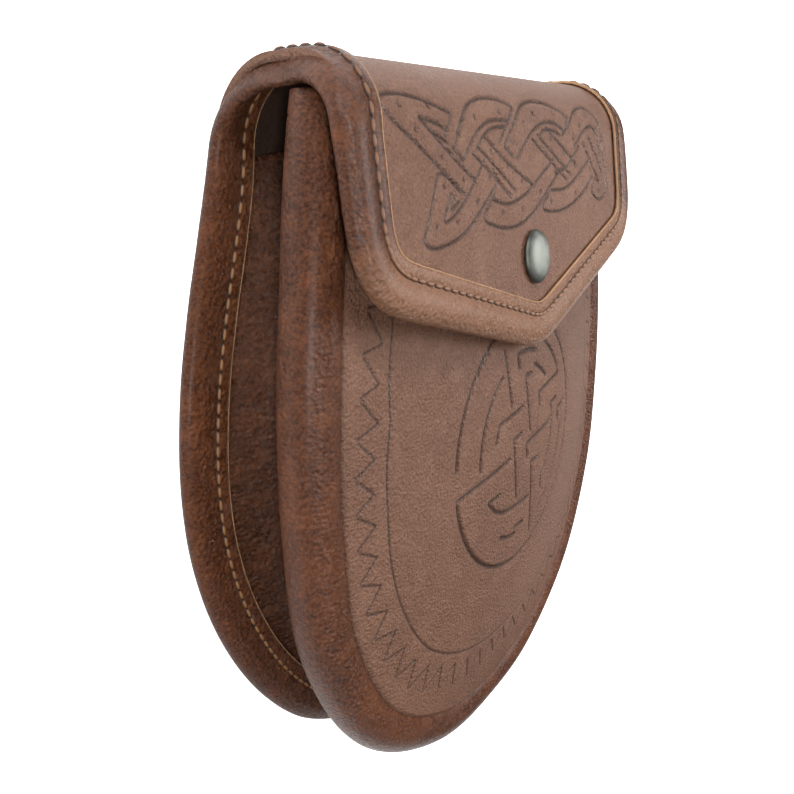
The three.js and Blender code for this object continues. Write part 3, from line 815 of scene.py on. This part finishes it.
# %% Roll
def tube(line, radius_at, sides, spacing, height_at):
    line = even(line, spacing=spacing)
    inward = inward_normals(line)
    count = len(line) - 1
    bm = grid(sides, count)

    def place(x, y, z):
        turn = 2 * math.pi * x
        j = int(round(y * count))
        radius = radius_at(j / count)
        at = line[j] + inward[j] * radius * math.cos(turn)
        lift = height_at(line[j][1]) + radius * math.sin(turn)
        return Vector((at[0], at[1] + MEDALLION_Y, lift))

    move(bm, place)
    bmesh.ops.remove_doubles(bm, verts=bm.verts, dist=0.0005)
    bmesh.ops.holes_fill(bm, edges=[e for e in bm.edges if e.is_boundary], sides=0)
    return bm


def roll_radius(share):
    """Full all round, and pinched toward the two upper ends."""
    from_end = min(share, 1 - share)
    pinch = max(0, 1 - from_end / 0.07) ** 2
    return ROLL_RADIUS * (1 - 0.22 * pinch)


roll = finish_mesh(
    "front_roll_padded",
    tube(roll_whole, roll_radius, 40, 1.6, lambda y: rim_z(y) - ROLL_BELOW_RIM),
    roll_leather, ["front_roll"])

# %% [markdown]
# ## Gusset
# The gusset folds inward between the roll and the back. Its fold is a short table.

# %% Gusset
GUSSET_FOLD = [
    # share of the way from roll to back, inward, lift, share of the depth
    (0.0, 8.4, 2.9, 0.0), (0.0, 8.4, -2.0, 0.0), (0.15, 10.0, 0, 0.2), (0.35, 14.6, 0, 0.38),
    (0.5, 16.5, 0, 0.5), (0.6, 15.4, 0, 0.6), (0.8, 10.4, 0, 0.76), (0.95, 4.4, 0, 0.91),
    (1.0, 2.0, 0.9, 1.0), (1.0, 0.7, 0.55, 1.0), (1.0, -5.6, 0.55, 1.0),
]
GUSSET_TOP_BACK = 84.0


def gusset_sheet():
    inset = OUTLINE + OUTLINE_IN * BINDING_WIDTH
    right = inset[inset[:, 1] <= GUSSET_TOP_BACK]
    count = 330
    raw = even(np.vstack([(right * [-1, 1])[:0:-1], right]), count=count + 1)
    line = even(roll_whole, count=count + 1)
    inward = inward_normals(line)
    fold = even(spline(GUSSET_FOLD, 8), count=41)
    floor = BACK_Z + HIDE / 2
    bm = grid(40, count)

    def place(x, y, z):
        share, reach, lift, depth = fold[int(round(x * 40))]
        j = int(round(y * count))
        at = line[j] * (1 - share) + raw[j] * share + inward[j] * reach
        top = rim_z(line[j][1]) - ROLL_BELOW_RIM
        return Vector((at[0], at[1] + MEDALLION_Y, top + (floor - top) * depth + lift))

    move(bm, place)
    return bm


# The gusset's leather is darkened as painted shade.
gusset = finish_mesh("gusset_folded", gusset_sheet(), gusset_leather_painted_shade, ["gusset"])
thicken(gusset, 0.5)
gusset.modifiers["thickness"].offset = 0
gusset.modifiers["thickness"].material_offset = 0

# %% [markdown]
# ## Stitches
# Each stitch is a small pulled-in bead of thread lying along the seam.

# %% Stitches
def stitch_row(name, inward_by, out, spacing, length, width, material, keep):
    line = even(np.vstack([whole_outline, whole_outline[:1]]), spacing=spacing)[:-1]
    closed = np.vstack([line[-1:], line, line[:1]])
    inward = inward_normals(closed)[1:-1]
    bm = bmesh.new()
    for (x, along), normal in zip(line, inward):
        if not keep(along):
            continue
        at = np.array([x, along]) + normal * inward_by
        run = np.array([normal[1], -normal[0]])
        ahead = at + run * 0.5
        aside = at + normal * 0.5
        centre = on_hide(at[0], at[1], out)
        x_axis = (on_hide(ahead[0], ahead[1], out) - centre).normalized()
        y_axis = (on_hide(aside[0], aside[1], out) - centre).normalized()
        z_axis = x_axis.cross(y_axis)
        turn = Matrix((x_axis, y_axis, z_axis)).transposed().to_4x4()
        size = Matrix.Diagonal((length, width, width * 0.7, 1))
        made = bmesh.ops.create_uvsphere(bm, u_segments=8, v_segments=6, radius=0.5)
        matrix = Matrix.Translation(centre) @ turn @ size
        bmesh.ops.transform(bm, matrix=matrix, verts=made["verts"])
    return finish_mesh(name, bm, material)


outer_skin = HIDE / 2 + GAP + STRIP
inner_skin = -(HIDE / 2 + GAP + GUSSET_LIP + GAP + STRIP)
everywhere = lambda along: True
stitch_row("stitches_outer", 8.9, outer_skin - 0.05, 3.7, 2.9, 1.05, brown_thread, everywhere)
stitch_row("stitches_inner", 8.9, inner_skin + 0.05, 3.7, 2.9, 1.05, tan_thread, everywhere)
# Larger near-black beads just under each stitch are painted shade for the needle holes.
stitch_row("needle_hole_shade_outer", 8.9, outer_skin - 0.3, 3.7, 3.9, 1.2, needle_hole_shade, everywhere)
stitch_row("needle_hole_shade_inner", 8.9, inner_skin + 0.3, 3.7, 3.9, 1.2, needle_hole_shade, everywhere)

# %% [markdown]
# ## Raw edge
# The cut edge of the strip shows as a thin light line beside the stitches.

# %% Raw edge
def raw_edge_line(name, out):
    ring = [(BINDING_WIDTH + 0.12 + 0.22 * math.cos(a), out + 0.5 * math.sin(a))
            for a in np.linspace(0, 2 * math.pi, 7)[:-1]]
    return finish_mesh(name, sweep_ring(np.array(ring), 2.0), raw_edge)


raw_edge_line("raw_edge_outer", outer_skin - 0.5)
raw_edge_line("raw_edge_inner", inner_skin + 0.5)

# %% [markdown]
# ## Snap and belt loop
# The cap is turned from its profile. The loop on the back is a plain strap with worn edges.

# %% Snap cap
CAP_PROFILE = [(0, 3.0), (3.0, 2.9), (5.4, 2.45), (6.8, 1.8), (7.35, 1.3), (7.5, 0.9),
               (7.35, 0.5), (6.9, 0.35), (4.2, 0.3), (4.2, -2.5), (5.4, -2.5), (5.4, -3.2), (0, -3.2)]


def snap():
    bm = bmesh.new()
    profile = [Vector((r, 0, h)) for r, h in spline(CAP_PROFILE[:8], 5)]
    profile += [Vector((r, 0, h)) for r, h in CAP_PROFILE[8:]]
    verts = [bm.verts.new(p) for p in profile]
    edges = [bm.edges.new(pair) for pair in zip(verts, verts[1:])]
    bmesh.ops.spin(bm, geom=verts + edges, cent=(0, 0, 0), axis=(0, 0, 1), angle=2 * math.pi,
                   steps=64, use_merge=True)
    bmesh.ops.remove_doubles(bm, verts=bm.verts, dist=0.001)
    seat = on_hide(0, along_at(SNAP_Y), HIDE / 2)
    tilt = Matrix.Rotation(-FLAP_LEAN, 4, "X")
    bmesh.ops.transform(bm, matrix=Matrix.Translation(seat) @ tilt, verts=bm.verts)
    return bm


finish_mesh("snap_cap_domed", snap(), gunmetal, ["snap_cap"])


# %% Belt loop
def belt_loop():
    low, high = [Vector(corner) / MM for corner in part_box("belt_loop")]
    bm = bmesh.new()
    bmesh.ops.create_cube(bm, size=1)
    bmesh.ops.transform(bm, matrix=Matrix.Diagonal((*(high - low), 1)), verts=bm.verts)
    bmesh.ops.translate(bm, vec=(low + high) / 2, verts=bm.verts)
    corners = [e for e in bm.edges if abs((e.verts[0].co - e.verts[1].co).z) > 0.5]
    bmesh.ops.bevel(bm, geom=corners, offset=5, segments=6, profile=0.5, affect="EDGES",
                    material=-1)
    rims = [e for e in bm.edges if e.calc_face_angle(0) > 0.8]
    bmesh.ops.bevel(bm, geom=rims, offset=0.35, segments=2, profile=0.5, affect="EDGES",
                    material=-1)
    return bm


finish_mesh("belt_loop_strap", belt_loop(), loop_leather, ["belt_loop"])
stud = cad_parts["snap_stud"]
stud_object = stud if hasattr(stud, "data") else bpy.data.objects["snap_stud"]
stud_object.data.materials.clear()
stud_object.data.materials.append(gunmetal)

# %% [markdown]
# ## Floor and light
# A plain pale floor, an even sky, one large soft key from the upper left and a low one on the right.

# %% Floor
def for_camera(nodes, links, socket, as_light, as_seen):
    """Gives a strength one value as a light on the pouch and another as seen by the camera."""
    seen = nodes.new("ShaderNodeLightPath").outputs["Is Camera Ray"]
    level = nodes.new("ShaderNodeMapRange")
    level.inputs["To Min"].default_value = as_light
    level.inputs["To Max"].default_value = as_seen
    links.new(seen, level.inputs["Value"])
    links.new(level.outputs["Result"], socket)


def pale_floor():
    bm = bmesh.new()
    bmesh.ops.create_grid(bm, x_segments=1, y_segments=1, size=6)
    mesh = bpy.data.meshes.new("floor")
    bm.to_mesh(mesh)
    bm.free()
    floor = bpy.data.objects.new("floor", mesh)
    scene.collection.objects.link(floor)
    floor.location.z = -0.0003
    material, nodes, links, shader = new_material("floor")
    shader.inputs["Base Color"].default_value = (0.93, 0.93, 0.93, 1)
    shader.inputs["Roughness"].default_value = 0.9
    shader.inputs["Emission Color"].default_value = (1, 1, 1, 1)
    for_camera(nodes, links, shader.inputs["Emission Strength"], 0.04, 0.98)
    mesh.materials.append(material)


pale_floor()

# %% Lights
world = bpy.data.worlds.new("sky")
scene.world = world
world.use_nodes = True
backdrop = world.node_tree.nodes["Background"]
backdrop.inputs["Color"].default_value = (1, 1, 1, 1)
for_camera(world.node_tree.nodes, world.node_tree.links, backdrop.inputs["Strength"], 0.13, 1.0)


def softbox(name, place, aim, size, power):
    data = bpy.data.lights.new(name, "AREA")
    data.shape = "SQUARE"
    data.size = size
    data.energy = power
    light = bpy.data.objects.new(name, data)
    scene.collection.objects.link(light)
    light.location = place
    toward = Vector(aim) - Vector(place)
    light.rotation_euler = toward.to_track_quat("-Z", "Y").to_euler()
    return light


softbox("key", (-0.5, 0.8, 0.4), (-0.05, 0, 0.02), 0.22, 7)
softbox("glint", (-0.75, 0.05, 0.62), (-0.05, 0, 0.03), 0.1, 6)
softbox("right", (0.6, 0.15, 0.7), (0.03, 0, 0.03), 0.45, 11)
scene.view_settings.view_transform = "Standard"
